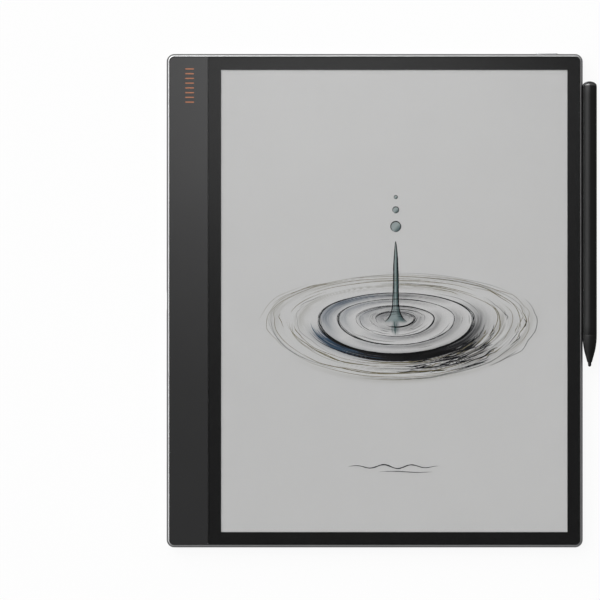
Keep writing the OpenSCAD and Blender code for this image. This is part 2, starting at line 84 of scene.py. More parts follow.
def new_material(name):
    """Empty material with a Principled shader, as (material, node tree, shader)."""
    m = bpy.data.materials.new(name)
    m.use_nodes = True
    nt = m.node_tree
    nt.nodes.clear()
    out = nt.nodes.new("ShaderNodeOutputMaterial")
    b = nt.nodes.new("ShaderNodeBsdfPrincipled")
    nt.links.new(b.outputs[0], out.inputs["Surface"])
    return m, nt, b


def noise(nt, scale, detail=2.0, rough=0.5, stretch=None):
    """Noise in the row frame. scale is features per metre, and stretch multiplies it along X, Y and Z."""
    tc = nt.nodes.new("ShaderNodeTexCoord")
    n = nt.nodes.new("ShaderNodeTexNoise")
    n.inputs["Scale"].default_value = scale
    n.inputs["Detail"].default_value = detail
    n.inputs["Roughness"].default_value = rough
    if stretch is None:
        nt.links.new(tc.outputs["Object"], n.inputs["Vector"])
    else:
        mp = nt.nodes.new("ShaderNodeMapping")
        mp.inputs["Scale"].default_value = stretch
        nt.links.new(tc.outputs["Object"], mp.inputs["Vector"])
        nt.links.new(mp.outputs["Vector"], n.inputs["Vector"])
    return n


def spread(nt, source, lo, hi, from_lo=0.3, from_hi=0.7):
    """Maps from_lo..from_hi of source onto lo..hi. The first two are set for a noise."""
    r = nt.nodes.new("ShaderNodeMapRange")
    r.inputs["From Min"].default_value = from_lo
    r.inputs["From Max"].default_value = from_hi
    r.inputs["To Min"].default_value = lo
    r.inputs["To Max"].default_value = hi
    nt.links.new(source, r.inputs["Value"])
    return r.outputs["Result"]


def tinted(nt, factor, a, b):
    """Colour between a and b by factor."""
    mix = nt.nodes.new("ShaderNodeMix")
    mix.data_type = "RGBA"
    nt.links.new(factor, mix.inputs["Factor"])
    mix.inputs["A"].default_value = (*a, 1.0)
    mix.inputs["B"].default_value = (*b, 1.0)
    return mix.outputs["Result"]


def bump(nt, shader, height, strength, distance):
    """Drives the shader's normal with a height."""
    b = nt.nodes.new("ShaderNodeBump")
    b.inputs["Strength"].default_value = strength
    b.inputs["Distance"].default_value = distance
    nt.links.new(height, b.inputs["Height"])
    nt.links.new(b.outputs["Normal"], shader.inputs["Normal"])


def surface(name, colour, rough, metal=0.0, specular=0.5, vary=0.08, patch=60.0,
            grain=6000.0, grain_depth=0.00001, grain_strength=0.25, rough_vary=0.05,
            coat=0.0, coat_rough=0.2, stretch=None):
    """A procedural surface: slow tone variation, finer roughness variation and a fine grain in the bump."""
    m, nt, b = new_material(name)
    c = np.array(colour)
    slow = noise(nt, patch, 3.0)
    fine = noise(nt, grain, 3.0, 0.6, stretch)
    drift = spread(nt, slow.outputs["Fac"], 0.0, 1.0)
    nt.links.new(tinted(nt, drift, c * (1 - vary), np.minimum(c * (1 + vary), 1.0)), b.inputs["Base Color"])
    nt.links.new(
        spread(nt, fine.outputs["Fac"], max(rough - rough_vary, 0.02), min(rough + rough_vary, 1.0)),
        b.inputs["Roughness"],
    )
    bump(nt, b, fine.outputs["Fac"], grain_strength, grain_depth)
    b.inputs["Metallic"].default_value = metal
    b.inputs["Specular IOR Level"].default_value = specular
    b.inputs["Coat Weight"].default_value = coat
    b.inputs["Coat Roughness"].default_value = coat_rough
    return m


def anodised(name, colour, rough=0.36):
    """Bead-blasted and anodised aluminium: tiny round pits, with a slight drift in tone."""
    m, nt, b = new_material(name)
    c = np.array(colour)
    slow = noise(nt, 45.0, 3.0)
    pits = nt.nodes.new("ShaderNodeTexVoronoi")
    pits.inputs["Scale"].default_value = 9000.0
    tc = nt.nodes.new("ShaderNodeTexCoord")
    nt.links.new(tc.outputs["Object"], pits.inputs["Vector"])
    fine = noise(nt, 16000.0, 2.0)
    nt.links.new(
        tinted(nt, spread(nt, slow.outputs["Fac"], 0.0, 1.0), c * 0.95, c * 1.05), b.inputs["Base Color"]
    )
    nt.links.new(spread(nt, fine.outputs["Fac"], rough - 0.05, rough + 0.06), b.inputs["Roughness"])
    bump(nt, b, pits.outputs["Distance"], 0.22, 0.000012)
    b.inputs["Metallic"].default_value = 1.0
    return m


def circuit(name):
    """Solder mask with faint copper traces under it."""
    m, nt, b = new_material(name)
    tc = nt.nodes.new("ShaderNodeTexCoord")
    brick = nt.nodes.new("ShaderNodeTexBrick")
    brick.inputs["Scale"].default_value = 700.0
    brick.inputs["Mortar Size"].default_value = 0.03
    brick.inputs["Color1"].default_value = (0.012, 0.075, 0.04, 1)
    brick.inputs["Color2"].default_value = (0.02, 0.1, 0.055, 1)
    brick.inputs["Mortar"].default_value = (0.035, 0.17, 0.09, 1)
    nt.links.new(tc.outputs["Object"], brick.inputs["Vector"])
    nt.links.new(brick.outputs["Color"], b.inputs["Base Color"])
    fine = noise(nt, 3000.0)
    nt.links.new(spread(nt, fine.outputs["Fac"], 0.28, 0.42), b.inputs["Roughness"])
    bump(nt, b, brick.outputs["Fac"], 0.2, 0.00002)
    return m


def clear_layer(name, straight, grazing, rough):
    """Glass or film face: see-through, reflecting a share that grows from straight to grazing views."""
    m, nt, b = new_material(name)
    facing = nt.nodes.new("ShaderNodeLayerWeight")
    facing.inputs["Blend"].default_value = 0.5
    power = nt.nodes.new("ShaderNodeMath")
    power.operation = "POWER"
    power.inputs[1].default_value = 5.0
    nt.links.new(facing.outputs["Facing"], power.inputs[0])
    nt.links.new(spread(nt, power.outputs[0], straight, grazing, 0.0, 1.0), b.inputs["Alpha"])
    b.inputs["Base Color"].default_value = (1.0, 1.0, 1.0, 1.0)
    b.inputs["Metallic"].default_value = 1.0
    fine = noise(nt, 9000.0, 2.0)
    nt.links.new(spread(nt, fine.outputs["Fac"], rough - 0.03, rough + 0.03), b.inputs["Roughness"])
    bump(nt, b, fine.outputs["Fac"], 0.05, 0.000003)
    return m


def epaper_surface(name, attribute=None, colour=(0.6, 0.6, 0.597)):
    """Electrophoretic film: fine speckle of the capsules over the drawn tone."""
    m, nt, b = new_material(name)
    speck = noise(nt, 5200.0, 2.0, 0.6)
    cloud = noise(nt, 35.0, 3.0, 0.5)
    mul = nt.nodes.new("ShaderNodeMath")
    mul.operation = "MULTIPLY"
    nt.links.new(spread(nt, speck.outputs["Fac"], 0.955, 1.045), mul.inputs[0])
    nt.links.new(spread(nt, cloud.outputs["Fac"], 0.992, 1.008), mul.inputs[1])
    mix = nt.nodes.new("ShaderNodeMix")
    mix.data_type = "RGBA"
    mix.blend_type = "MULTIPLY"
    mix.inputs["Factor"].default_value = 1.0
    if attribute:
        at = nt.nodes.new("ShaderNodeAttribute")
        at.attribute_name = attribute
        nt.links.new(at.outputs["Color"], mix.inputs["A"])
    else:
        mix.inputs["A"].default_value = (*colour, 1.0)
    nt.links.new(mul.outputs[0], mix.inputs["B"])
    nt.links.new(mix.outputs["Result"], b.inputs["Base Color"])
    nt.links.new(spread(nt, speck.outputs["Fac"], 0.72, 0.88), b.inputs["Roughness"])
    b.inputs["Specular IOR Level"].default_value = 0.15
    bump(nt, b, speck.outputs["Fac"], 0.1, 0.00001)
    return m


M = {
    "frame_anodised": anodised("frame_anodised", (0.66, 0.663, 0.668)),
    "back_anodised": surface("back_anodised", (0.125, 0.125, 0.126), 0.5, metal=0.0, specular=0.35, vary=0.03,
                             patch=25.0, grain=7000.0, grain_depth=0.000012, grain_strength=0.35),
    "inner_plate": surface("inner_plate", (0.5, 0.51, 0.52), 0.38, metal=1.0, grain=900.0,
                           stretch=(1.0, 12.0, 1.0)),
    "steel": surface("steel", (0.45, 0.46, 0.47), 0.35, metal=1.0, grain=4000.0),
    "tinned_steel": surface("tinned_steel", (0.62, 0.63, 0.64), 0.3, metal=1.0, grain=2500.0, vary=0.06),
    "magnet": surface("magnet", (0.5, 0.52, 0.54), 0.22, metal=1.0, grain=2000.0),
    "cover_glass": clear_layer("cover_glass", 0.0143, 0.6, 0.2),
    "light_guide": clear_layer("light_guide", 0.004, 0.2, 0.2),
    "black_film": surface("black_film", (0.0022, 0.0022, 0.0024), 0.55, specular=0.14, vary=0.05, patch=30.0,
                          grain=9000.0, grain_depth=0.000004, grain_strength=0.1),
    "grip_margin": surface("grip_margin", (0.0225, 0.0225, 0.023), 0.22, specular=0.75, vary=0.04, patch=30.0,
                           grain=5200.0, grain_depth=0.000008, grain_strength=0.15, rough_vary=0.04),
    "carrier_plastic": surface("carrier_plastic", (0.025, 0.025, 0.027), 0.6, grain=3000.0),
    "antenna_copper": surface("antenna_copper", (0.7, 0.42, 0.2), 0.35, metal=1.0, grain=3000.0),
    "lamps": surface("lamps", (0.8, 0.74, 0.4), 0.3, grain=2500.0),
    "epaper": epaper_surface("epaper"),
    "flex_film": surface("flex_film", (0.42, 0.17, 0.04), 0.3, coat=0.3, grain=1500.0,
                         stretch=(1.0, 14.0, 1.0)),
    "circuit_board": circuit("circuit_board"),
    "chip_plastic": surface("chip_plastic", (0.018, 0.018, 0.02), 0.5, grain=5000.0),
    "connector_plastic": surface("connector_plastic", (0.6, 0.55, 0.45), 0.45, grain=3000.0),
    "gold_contact": surface("gold_contact", (0.85, 0.6, 0.24), 0.22, metal=1.0, grain=3000.0),
    "pouch_foil": surface("pouch_foil", (0.12, 0.125, 0.13), 0.32, metal=0.6, patch=200.0, grain=1200.0,
                          grain_depth=0.00005, grain_strength=0.5),
    "tape": surface("tape", (0.75, 0.72, 0.65), 0.6, grain=2500.0),
    "red_wire": surface("red_wire", (0.42, 0.03, 0.02), 0.4, grain=2500.0),
    "speaker_plastic": surface("speaker_plastic", (0.02, 0.02, 0.022), 0.45, grain=3500.0),
    "gasket_rubber": surface("gasket_rubber", (0.01, 0.01, 0.01), 0.85, grain=2500.0),
    "pen_black": surface("pen_black", (0.0035, 0.0035, 0.0038), 0.37, specular=0.4, vary=0.06, patch=50.0,
                         grain=8000.0, grain_depth=0.000008, grain_strength=0.25, rough_vary=0.03),
    "pen_tip_black": surface("pen_tip_black", (0.0035, 0.0035, 0.0038), 0.45, specular=0.4, vary=0.06,
                             patch=60.0, grain=8000.0, grain_depth=0.00001, grain_strength=0.3,
                             rough_vary=0.04),
    "nib_plastic": surface("nib_plastic", (0.004, 0.004, 0.0043), 0.5, specular=0.4, grain=9000.0),
    "ferrite": surface("ferrite", (0.04, 0.04, 0.043), 0.5, metal=0.4, grain=5000.0),
    "copper_coil": surface("copper_coil", (0.65, 0.24, 0.09), 0.28, metal=1.0, grain=9000.0,
                           stretch=(0.05, 1.0, 0.05), grain_depth=0.00003, grain_strength=0.8),
}
# For pieces that have no material slot of their own.
M["pen_cap"] = surface("pen_cap", (0.006, 0.006, 0.0065), 0.09, specular=1.0, vary=0.04, patch=80.0,
                       grain=9000.0, grain_depth=0.000003, grain_strength=0.1, rough_vary=0.02, coat=1.0,
                       coat_rough=0.08)
M["print_orange"] = surface("print_orange", (0.43, 0.165, 0.085), 0.45, vary=0.06, patch=400.0, grain=7000.0)

slot_of = {s["node"]: s["material_slot"] for s in frame["record"]["subparts"]}
for name, node in frame["nodes"].items():
    node.data.materials.clear()
    node.data.materials.append(M[slot_of[name]])

# ---------------------------------------------------------------- mesh tools


def shade(mesh, degrees, flat_caps=True):
    """Smooth shading that breaks at edges sharper than the angle. Caps with many corners stay flat."""
    bm = bmesh.new()
    bm.from_mesh(mesh)
    limit = math.radians(degrees)
    for f in bm.faces:
        f.smooth = not (flat_caps and len(f.verts) > 12)
    for e in bm.edges:
        e.smooth = len(e.link_faces) == 2 and e.calc_face_angle(0.0) < limit
    bm.to_mesh(mesh)
    bm.free()


def make_mesh(name, verts, faces, degrees=32):
    """Mesh from points in millimetres."""
    mesh = bpy.data.meshes.new(name)
    mesh.from_pydata([tuple(v) for v in np.asarray(verts) * MM], [], faces)
    mesh.validate()
    shade(mesh, degrees)
    return mesh


def add(name, mesh, material, body="tablet", replaces=()):
    """Puts a piece in the scene, riding on its body."""
    ob = bpy.data.objects.new(name, mesh)
    bpy.context.scene.collection.objects.link(ob)
    mesh.materials.clear()
    mesh.materials.append(M[material])
    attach(ob, body)
    if replaces:
        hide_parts(*replaces)
    return ob


def outline(x0, y0, x1, y1, radii, off=0.0, seg=14):
    """Anticlockwise outline of a rectangle moved inwards by off.

    radii are those of the right top, left top, left bottom and right bottom corner.
    """
    pts = []
    corners = ((x1, y1, -1, -1), (x0, y1, 1, -1), (x0, y0, 1, 1), (x1, y0, -1, 1))
    for i, (cx, cy, sx, sy) in enumerate(corners):
        r = max(radii[i] - off, 0.02)
        ox, oy = cx + sx * (off + r), cy + sy * (off + r)
        for k in range(seg + 1):
            a = math.pi / 2 * (i + k / seg)
            pts.append((ox + r * math.cos(a), oy + r * math.sin(a)))
    return np.array(pts)


def slab(x0, y0, x1, y1, radii, profile):
    """Closed plate. profile lists (inset, z) from its lower face to its upper face."""
    verts, faces = [], []
    n = len(outline(x0, y0, x1, y1, radii))
    rings = [np.c_[outline(x0, y0, x1, y1, radii, s), np.full(n, z)] for s, z in profile]
    for ring in rings:
        verts += [tuple(p) for p in ring]
    for j in range(len(rings) - 1):
        for i in range(n):
            k = (i + 1) % n
            faces.append((j * n + i, j * n + k, (j + 1) * n + k, (j + 1) * n + i))
    faces.append(tuple(reversed(range(n))))
    faces.append(tuple(range((len(rings) - 1) * n, len(rings) * n)))
    return verts, faces


def eased(z0, z1, low, high):
    """Side of a plate whose lower and upper edges are rounded by low and high."""
    quarter = np.linspace(0, math.pi / 2, 5)
    prof = []
    if low > 0:
        prof += [(low * (1 - math.sin(a)), z0 + low * (1 - math.cos(a))) for a in quarter]
    else:
        prof.append((0.0, z0))
    if high > 0:
        prof += [(high * (1 - math.cos(a)), z1 - high * (1 - math.sin(a))) for a in quarter]
    else:
        prof.append((0.0, z1))
    return prof


def ring_sweep(section, seg=20):
    """Sweeps a closed section of (inset from the waist, z) round the tablet's outline."""
    verts, faces = [], []
    m = len(section)
    stations = []
    for i, (sx, sy) in enumerate(((1, 1), (-1, 1), (-1, -1), (1, -1))):
        for k in range(seg + 1):
            a = math.pi / 2 * (i + k / seg)
            stations.append((sx * (RIGHT - CORNER_R), sy * (TOP_BODY - CORNER_R), math.cos(a), math.sin(a)))
    for cx, cy, dx, dy in stations:
        for s, z in section:
            verts.append((cx + dx * (CORNER_R - s), cy + dy * (CORNER_R - s), z))
    n = len(stations)
    for i in range(n):
        k = (i + 1) % n
        for j in range(m):
            up = (j + 1) % m
            faces.append((i * m + j, k * m + j, k * m + up, i * m + up))
    return verts, faces


def stadium(length, height, n=14):
    """Slot outline in two axes, anticlockwise."""
    r = height / 2
    mid = length / 2 - r
    right, left = np.linspace(-math.pi / 2, math.pi / 2, n), np.linspace(math.pi / 2, 1.5 * math.pi, n)
    pts = [(mid + r * math.cos(a), r * math.sin(a)) for a in right]
    pts += [(-mid + r * math.cos(a), r * math.sin(a)) for a in left]
    return np.array(pts)


def prism(loops):
    """Closed solid through a list of loops of points in space, all of one length."""
    verts, faces = [], []
    n = len(loops[0])
    for loop in loops:
        verts += [tuple(p) for p in loop]
    for j in range(len(loops) - 1):
        for i in range(n):
            k = (i + 1) % n
            faces.append((j * n + i, j * n + k, (j + 1) * n + k, (j + 1) * n + i))
    faces.append(tuple(reversed(range(n))))
    faces.append(tuple(range((len(loops) - 1) * n, len(loops) * n)))
    return verts, faces


def along_x(pts, y, z, xs):
    """Loops of a shape drawn in Y and Z, at each x."""
    return [np.c_[np.full(len(pts), x), y + pts[:, 0], z + pts[:, 1]] for x in xs]


def along_y(pts, x, z, ys):
    """Loops of a shape drawn in X and Z, at each y."""
    return [np.c_[x + pts[::-1, 0], np.full(len(pts), y), z + pts[::-1, 1]] for y in ys]


def joined(shapes):
    """Several shapes as one list of points and one of faces."""
    verts, faces = [], []
    for v, f in shapes:
        k = len(verts)
        verts += list(v)
        faces += [tuple(i + k for i in face) for face in f]
    return verts, faces


def subtract(mesh, cutter):
    """mesh less cutter, as a new mesh."""
    a = bpy.data.objects.new("cut_a", mesh)
    b = bpy.data.objects.new("cut_b", cutter)
    for o in (a, b):
        bpy.context.scene.collection.objects.link(o)
    mod = a.modifiers.new("cut", "BOOLEAN")
    mod.operation = "DIFFERENCE"
    mod.solver = "EXACT"
    mod.object = b
    bpy.context.view_layer.update()
    dg = bpy.context.evaluated_depsgraph_get()
    out = bpy.data.meshes.new_from_object(a.evaluated_get(dg), depsgraph=dg)
    for o in (a, b):
        bpy.data.objects.remove(o)
    return out


def lathe(profile, x, z, y0, seg=80):
    """Closed turned shape on an axis along +Y. profile lists (t, radius) with radius 0 at both ends."""
    verts, faces = [], []
    ang = np.linspace(0, 2 * math.pi, seg, endpoint=False)
    rings = []
    for t, r in profile:
        if r <= 1e-9:
            rings.append([len(verts)])
            verts.append((x, y0 + t, z))
        else:
            rings.append(list(range(len(verts), len(verts) + seg)))
            verts += [(x + r * math.sin(a), y0 + t, z + r * math.cos(a)) for a in ang]
    for p, q in zip(rings, rings[1:]):
        for i in range(seg):
            k = (i + 1) % seg
            if len(p) == 1:
                faces.append((p[0], q[k], q[i]))
            elif len(q) == 1:
                faces.append((p[i], p[k], q[0]))
            else:
                faces.append((p[i], p[k], q[k], q[i]))
    return verts, faces


# ---------------------------------------------------------------- casing

# Outer side of the ring: a quarter ellipse below the waist and one above it, as (inset, z).
rim = [(RIM_INSET * (1 - math.cos(a)), WAIST_Z * (1 - math.sin(a))) for a in np.linspace(math.pi / 2, 0, 13)]
rim += [(RIM_INSET * (1 - math.cos(a)), WAIST_Z + (BODY_T - WAIST_Z) * math.sin(a))
        for a in np.linspace(0, math.pi / 2, 21)[1:]]
EDGE = 0.03
section = rim + [(LIP_S - EDGE, BODY_T), (LIP_S, BODY_T - EDGE), (LIP_S, SEAT_Z), (WALL_S, SEAT_Z),
                 (WALL_S, COVER_T), (LIP_S, COVER_T), (LIP_S, EDGE), (LIP_S - EDGE, 0.0)]
frame_mesh = make_mesh("frame_ring", *ring_sweep(section))

U_LO, U_HI = box_mm("usb_shell")
T_LO, T_HI = box_mm("card_tray")
B_LO, B_HI = box_mm("power_button")
button_x, button_l, button_h = (B_LO[0] + B_HI[0]) / 2, 9.75, B_HI[2] - B_LO[2]
tray_z, tray_face_y = (T_LO[2] + T_HI[2]) / 2, (T_LO[1] + T_HI[1]) / 2
USB_GAP, TRAY_GAP, BUTTON_GAP = 0.3, 0.2, 0.24
MIC_D, MIC_Y, MIC_Z = 0.8, -15.0, 1.9
GRILLE_D, GRILLE_MID, GRILLE_PITCH, GRILLE_HOLES = 1.1, 71.0, 2.0, 9
GRILLE_Y = [side * GRILLE_MID + (i - GRILLE_HOLES // 2) * GRILLE_PITCH for side in (-1, 1)
            for i in range(GRILLE_HOLES)]
# A round hole is a slot that is hardly longer than it is high.
ROUND = 0.0001


def mouth_x(length, height, y, z, flare, n=20):
    """Cutter through the left side, with a chamfered mouth."""
    steps = ((LEFT - 1.0, 1.0 + flare), (LEFT + flare, 0.0), (LEFT + 4.0, 0.0))
    return prism([along_x(stadium(length + 2 * o, height + 2 * o, n), y, z, (x,))[0] for x, o in steps])


button_slot = stadium(button_l + BUTTON_GAP, button_h + BUTTON_GAP)
cuts = [mouth_x(U_HI[1] - U_LO[1] + USB_GAP, U_HI[2] - U_LO[2] + USB_GAP, 0.0, WAIST_Z, 0.16, 28),
        mouth_x(T_HI[1] - T_LO[1] + TRAY_GAP, T_HI[2] - T_LO[2] + TRAY_GAP, tray_face_y, tray_z, 0.05),
        mouth_x(MIC_D + ROUND, MIC_D, MIC_Y, MIC_Z, 0.06, 12),
        prism(along_y(button_slot, button_x, WAIST_Z, (TOP_BODY - 4, TOP_BODY + 1)))]
cuts += [mouth_x(GRILLE_D + ROUND, GRILLE_D, y, WAIST_Z, 0.1, 12) for y in GRILLE_Y]
frame_mesh = subtract(frame_mesh, make_mesh("cutter", *joined(cuts)))
shade(frame_mesh, 30, flat_caps=False)
add("frame_ring", frame_mesh, "frame_anodised", replaces=["frame"])

# The glass, the grip strip and the back plate stop short of the rim by RIM_GAP.
RIM_GAP = 0.06
R_RIM, R_MEET = CORNER_R - (LIP_S + RIM_GAP), 0.15
add("front_glass", make_mesh("front_glass", *slab(
    G_LO[0], G_LO[1], G_HI[0], G_HI[1], (R_RIM, R_MEET, R_MEET, R_RIM),
    eased(G_LO[2] + 0.02, G_HI[2], 0, 0.12))), "cover_glass", replaces=["cover_glass"])
add("grip_strip", make_mesh("grip_strip", *slab(
    S_LO[0], S_LO[1], S_HI[0], S_HI[1], (R_MEET, R_RIM, R_RIM, R_MEET),
    eased(S_LO[2], S_HI[2], 0, 0.14))), "grip_margin", replaces=["side_strip"])
add("back_plate", make_mesh("back_plate", *slab(
    C_LO[0], C_LO[1], C_HI[0], C_HI[1], (R_RIM,) * 4, eased(0.0, COVER_T, 0.1, 0))),
    "back_anodised", replaces=["rear_cover"])

# Dark bonding line where the glass and the grip strip meet the rim.
SEAM_S, SEAM_Z = (LIP_S - 0.1, LIP_S + 0.28), (BODY_T - 0.1, BODY_T + 0.01)
seam = [(SEAM_S[1], SEAM_Z[0]), (SEAM_S[1], SEAM_Z[1]), (SEAM_S[0], SEAM_Z[1]), (SEAM_S[0], SEAM_Z[0])]
add("seam_line", make_mesh("seam_line", *ring_sweep(seam)), "gasket_rubber")

# Plain printed mark at the top of the grip strip: a short ladder of dashes.
DASH_X, DASH_TOP, DASH_PITCH, DASH_HALF, DASH_R = (-85.95, -81.95), 105.1, 2.15, 0.28, 0.26
dash_side = [(0, BODY_T - 0.01), (0, BODY_T + 0.02)]
dashes = []
for i in range(8):
    y = DASH_TOP - i * DASH_PITCH
    dashes.append(slab(DASH_X[0], y - DASH_HALF, DASH_X[1], y + DASH_HALF, (DASH_R,) * 4, dash_side))
add("print_mark", make_mesh("print_mark", *joined(dashes)), "print_orange")

# Power button with a rolled outer edge.
loops = []
for y, off in [(TOP_BODY - 2.6, 0.0), (B_HI[1] - 0.3, 0.0), (B_HI[1] - 0.17, 0.035), (B_HI[1] - 0.06, 0.12),
               (B_HI[1] - 0.01, 0.24), (B_HI[1], 0.36)]:
    loops += along_y(stadium(button_l - 2 * off, button_h - 2 * off, 20), button_x, WAIST_Z, (y,))
add("power_key", make_mesh("power_key", *prism(loops)), "frame_anodised", "power_button",
    ["power_button"])

# ---------------------------------------------------------------- stylus

SB_LO, SB_HI = box_mm("stylus_barrel")
pen_x, pen_z = (SB_LO[0] + SB_HI[0]) / 2, (SB_LO[2] + SB_HI[2]) / 2
pen_r = (SB_HI[0] - SB_LO[0]) / 2
# Distances along the pen are counted from the tip of its nib.
tip_y = box_mm("stylus_nib")[0][1]
cone_l = SB_LO[1] - tip_y
cap_t = SB_HI[1] - tip_y
pen_l = box_mm("stylus_end_cap")[1][1] - tip_y


def cone_r(t):
    """Radius of the nose at t."""
    u = min(1.0, max(0.0, (t - 7.0) / (cone_l - 7.0)))
    return 0.5 + 0.275 * min(t, 7.0) + (pen_r - 2.425) * (1 - (1 - u) ** 2)


groove = 0.07


def shoulder(t, way):
    """Rounded end of the barrel or the cap at a joint at t. way is the direction into the part."""
    steps = ((0.0, groove + 0.03), (0.04, groove), (0.1, 0.02), (0.18, 0.0))
    return [(t + way * along, pen_r - down) for along, down in steps]


barrel = [(cone_l, 0), *shoulder(cone_l, 1)]
barrel += [(t, pen_r) for t in np.linspace(cone_l + 4, cap_t - 4, 10)]
barrel += [*reversed(shoulder(cap_t, -1)), (cap_t, 0)]
barrel_mesh = make_mesh("stylus_tube", *lathe(barrel, pen_x, pen_z, tip_y, 96))
add("stylus_tube", barrel_mesh, "pen_black", "stylus", ["stylus_barrel"])

mouth = 0.86
cone = [(7.0, 0), (6.95, mouth), (2.1, mouth), (2.0, mouth + 0.03), (2.0, cone_r(2.0) - 0.05),
        (2.05, cone_r(2.05))]
cone += [(t, cone_r(t)) for t in np.linspace(2.6, cone_l - 0.2, 26)]
cone += [(cone_l - 0.1, cone_r(cone_l - 0.1) - 0.02), (cone_l - 0.04, pen_r - groove),
         (cone_l, pen_r - groove - 0.03), (cone_l, 0)]
cone_mesh = make_mesh("stylus_nose", *lathe(cone, pen_x, pen_z, tip_y, 96), degrees=40)
add("stylus_nose", cone_mesh, "pen_tip_black", "stylus", ["stylus_cone"])

dome = pen_l - cap_t
cap = [(cap_t, 0), *shoulder(cap_t, 1)[:-1], (cap_t + 0.2, pen_r - 0.005)]
cap += [(cap_t + dome * math.sin(a), pen_r * math.cos(a)) for a in np.linspace(0.09, math.pi / 2 - 0.03, 26)]
cap += [(pen_l, 0)]
cap_mesh = make_mesh("stylus_cap", *lathe(cap, pen_x, pen_z, tip_y, 96), degrees=50)
add("stylus_cap", cap_mesh, "pen_cap", "stylus", ["stylus_end_cap"])

nib = [(0, 0)] + [(0.72 * (1 - math.cos(a)), 0.72 * math.sin(a)) for a in np.linspace(0.15, math.pi / 2, 12)]
nib += [(1.2, 0.765), (1.6, 0.8), (6.4, 0.8), (6.8, 0.5), (23.8, 0.5), (24.0, 0.4), (24.0, 0)]
add("nib", make_mesh("nib", *lathe(nib, pen_x, pen_z, tip_y, 48), degrees=40), "nib_plastic",
    "nib", ["stylus_nib"])

# ---------------------------------------------------------------- screen drawing

# A plain ink study of a splash: a thin column of water over the rings that it sends out.

rng = np.random.default_rng(7)
TAU = 2 * math.pi
PAPER = (0.585, 0.585, 0.582)
CX, CY = 9.5, -8.0
# Height of a ring over its width, on the near side and on the far side.
NEAR, FAR = 0.46, 0.33
# Rings of water, as (radius, width, strength).
CRESTS = ((9.0, 2.6, 0.45), (17.5, 2.8, 0.6), (26.0, 3.0, 0.65), (35.0, 4.2, 1.0), (46.5, 3.4, 0.4),
          (58.0, 3.4, 0.3))
# Direction of the shaded side.
LOW = math.radians(-52)
JET_TOP = 27.0
# Drops over the column, as (height, radius).
DROPS = ((33.6, 2.3), (41.2, 1.4), (47.0, 0.8))
# Part of the screen that needs a fine mesh.
ART = (-54.0, -46.0, 72.0, 54.0)


def smooth(v, lo, hi):
    """Smooth step from 0 at lo to 1 at hi."""
    t = np.clip((v - lo) / (hi - lo), 0, 1)
    return t * t * (3 - 2 * t)


def ring_noise(rho, angle, per_mm, turns, seed):
    """Noise in 0..1 that runs along the rings, like the hairs of a dry brush."""
    reach = 90
    g = np.random.default_rng(seed).random((int(reach * per_mm) + 3, turns))
    r = np.clip(rho, 0, reach) * per_mm
    a = angle / TAU % 1.0 * turns
    ri, ai = r.astype(int), a.astype(int) % turns
    fr, fa = r - ri, a - a.astype(int)
    fr, fa = fr * fr * (3 - 2 * fr), fa * fa * (3 - 2 * fa)
    bi = (ai + 1) % turns
    inner = g[ri, ai] * (1 - fa) + g[ri, bi] * fa
    outer = g[ri + 1, ai] * (1 - fa) + g[ri + 1, bi] * fa
    return inner * (1 - fr) + outer * fr


xs = np.unique(np.r_[np.linspace(SCREEN[0] - 0.8, ART[0], 5), np.linspace(ART[0], ART[2], 315),
                     np.linspace(ART[2], SCREEN[2] + 0.8, 4)])
ys = np.unique(np.r_[np.linspace(SCREEN[1] - 0.8, ART[1], 8), np.linspace(ART[1], ART[3], 250),
                     np.linspace(ART[3], SCREEN[3] + 0.8, 7)])
X, Y = np.meshgrid(xs, ys)
V = (Y - CY) / np.where(Y < CY, NEAR, FAR)
RHO, ANG = np.hypot(X - CX, V), np.arctan2(V, X - CX)
tone = np.ones((*X.shape, 3)) * PAPER


def lay(alpha, colour):
    """Lays a wash over the paper."""
    global tone
    a = np.clip(alpha, 0, 1)[..., None]
    tone = tone * (1 - a) + np.asarray(colour) * a


hairs = ring_noise(RHO, ANG, 2.2, 26, 1)
clouds = ring_noise(RHO, ANG, 0.35, 14, 2)
side = smooth(X, CX - 26, CX + 12)[..., None]
ink_wash = np.array((0.03, 0.062, 0.105)) * (1 - side) + np.array((0.013, 0.014, 0.017)) * side
for c, w, a in CRESTS:
    u = (RHO - c) / w
    slope = 1.414 * u * np.exp(0.5 - u * u)
    dark = np.clip(slope * np.cos(ANG - LOW), 0, 1) ** 0.8
    lit = np.clip(-slope * np.cos(ANG - LOW), 0, 1)
    if c < 40:
        lay(dark * a * (0.55 + 0.5 * hairs), ink_wash)
        lay(lit * a * 0.3 * (0.4 + 0.6 * clouds), (0.6, 0.6, 0.6))
    else:
        lay(dark * a * smooth(hairs + 0.5 * clouds, 0.35, 1.0), (0.14, 0.125, 0.075))
# Depth of the main ring's near side, and the dry brush below it.
u = (RHO - 38.0) / 4.0
lay(np.exp(-u * u) * smooth(-np.sin(ANG), 0.05, 0.75) * (0.6 + 0.4 * hairs), ink_wash)
low_right = np.exp(-((ANG - LOW) / 0.55) ** 2)
dry = smooth(hairs + 0.35 * clouds, 0.3, 0.85)
lay(low_right * smooth(RHO, 38, 42) * (1 - smooth(RHO, 50, 61)) * dry * 0.9, (0.05, 0.045, 0.035))
# Pool inside the second ring, and the column's reflection in it.
pool = (1 - smooth(RHO, 5.0, 17.0)) * (0.3 + 0.45 * smooth(Y, CY - 3, CY + 5))
lay(pool * (0.6 + 0.4 * hairs), (0.03, 0.036, 0.042))
lay((1 - smooth(np.abs(X - CX), 0.4, 2.2)) * smooth(CY - Y, -0.5, 1.0) * (1 - smooth(CY - Y, 4.5, 9.0)) * 0.6,
    (0.05, 0.1, 0.105))


def jet_half(y):
    """Half width of the column of water at height y."""
    t = np.clip((y - CY + 1.5) / (JET_TOP - CY + 1.5), 0, 1)
    return (0.75 + 0.55 * (1 - t) + 3.8 * np.exp(-13 * t)) * (1 - t ** 8)


